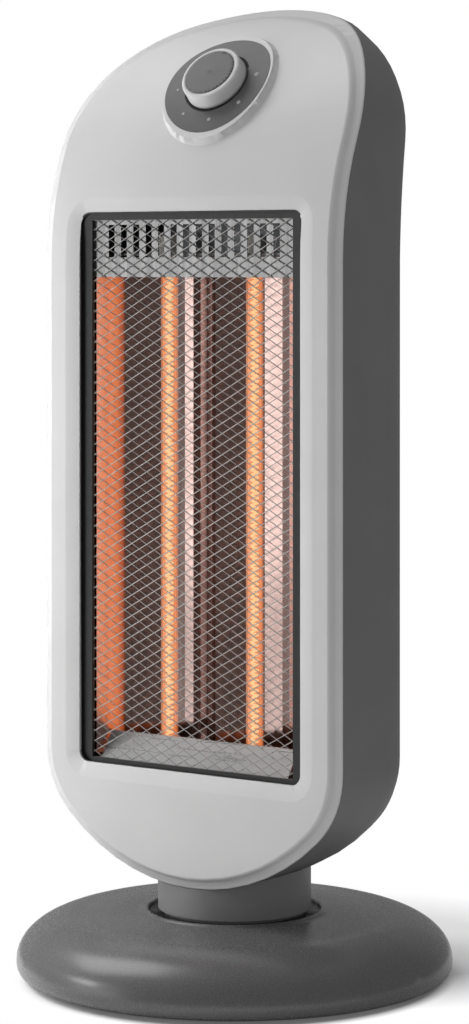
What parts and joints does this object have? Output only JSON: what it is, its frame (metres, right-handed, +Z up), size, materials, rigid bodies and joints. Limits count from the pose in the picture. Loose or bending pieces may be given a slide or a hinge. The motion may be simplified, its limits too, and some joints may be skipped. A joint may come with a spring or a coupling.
{
  "type": "carbon heater",
  "caption": "Tower room heater with upright glowing lamps behind a wire guard, a rotary knob on a swept-back head and a round base that swings.",
  "frame": {"origin": "centre of the round base, on the surface that the feet stand on", "axes": "+Z up through the swivel axis, the lamps and knob face -Y, +X to the right when looked at from behind the front (viewer in front sees +X on the right)"},
  "size_m": [0.28, 0.2799, 0.6244],
  "materials": {
    "base_plastic": "fine-grained dark grey moulded plastic",
    "shell_plastic": "fine-grained dark grey moulded plastic",
    "light_plastic": "satin light grey moulded plastic",
    "disc_plastic": "matte mid grey moulded plastic",
    "black_plastic": "matte black plastic",
    "slip_plastic": "white low-friction plastic",
    "rubber": "black rubber",
    "black_metal": "heat-resistant black paint",
    "chrome_wire": "chromed steel",
    "bright_steel": "bright sheet steel",
    "reflector_metal": "polished aluminium",
    "zinc_steel": "zinc-coated steel",
    "quartz": "clear quartz tube",
    "glowing_carbon": "glowing carbon fibre",
    "ceramic": "glazed white ceramic",
    "lead_sleeve": "woven glass sleeve"
  },
  "bodies": {
    "base": {"base_cover": "base_plastic", "base_plate": "base_plastic", "rubber_feet": "rubber", "base_screws": "zinc_steel", "cord_grommet": "rubber", "bearing_ring": "slip_plastic", "tip_switch": "black_plastic", "swing_motor": "zinc_steel", "motor_screws": "zinc_steel"},
    "plunger": {"tip_plunger": "slip_plastic"},
    "crank": {"motor_shaft": "bright_steel", "swing_crank": "zinc_steel"},
    "tower": {"swing_plate": "zinc_steel", "swing_plate_screws": "zinc_steel", "neck": "shell_plastic", "neck_screws": "zinc_steel", "rear_shell": "shell_plastic", "front_bezel": "light_plastic", "shell_screws": "zinc_steel", "chamber_frame": "black_metal", "guard_mesh": "chrome_wire", "slot_plate": "bright_steel", "bottom_tray": "bright_steel", "reflector": "reflector_metal", "heat_shield": "zinc_steel", "lamp_tubes": "quartz", "carbon_filaments": "glowing_carbon", "lamp_caps": "ceramic", "lamp_bracket_upper": "zinc_steel", "lamp_bracket_lower": "zinc_steel", "lamp_leads": "lead_sleeve", "thermal_cutout": "black_plastic", "terminal_block": "ceramic", "wiring_harness": "rubber", "knob_escutcheon": "disc_plastic", "rotary_switch": "black_plastic"},
    "knob": {"switch_shaft": "bright_steel", "knob": "light_plastic", "knob_cap": "disc_plastic"}
  },
  "joints": [
    {"name": "sweep", "type": "hinge", "parent": "base", "child": "tower", "pos_m": [0, 0, 0.04], "axis": [0, 0, 1], "range_deg": [-35, 35]},
    {"name": "crank_turn", "type": "hinge", "parent": "base", "child": "crank", "pos_m": [0, 0.04, 0.02], "axis": [0, 0, 1], "range_deg": [-105.1, 105.1]},
    {"name": "knob_turn", "type": "hinge", "parent": "tower", "child": "knob", "pos_m": [0, -0.0163, 0.5716], "axis": [0, -0.8, 0.6], "range_deg": [-180, 0]},
    {"name": "tip_press", "type": "slide", "parent": "base", "child": "plunger", "axis": [0, 0, -1], "range_m": [0, 0.006], "stiffness_N_per_m": 150, "springref_m": 0.01}
  ],
  "couplings": [
    {"joint": "crank_turn", "follows": "sweep", "ratio": 3}
  ]
}
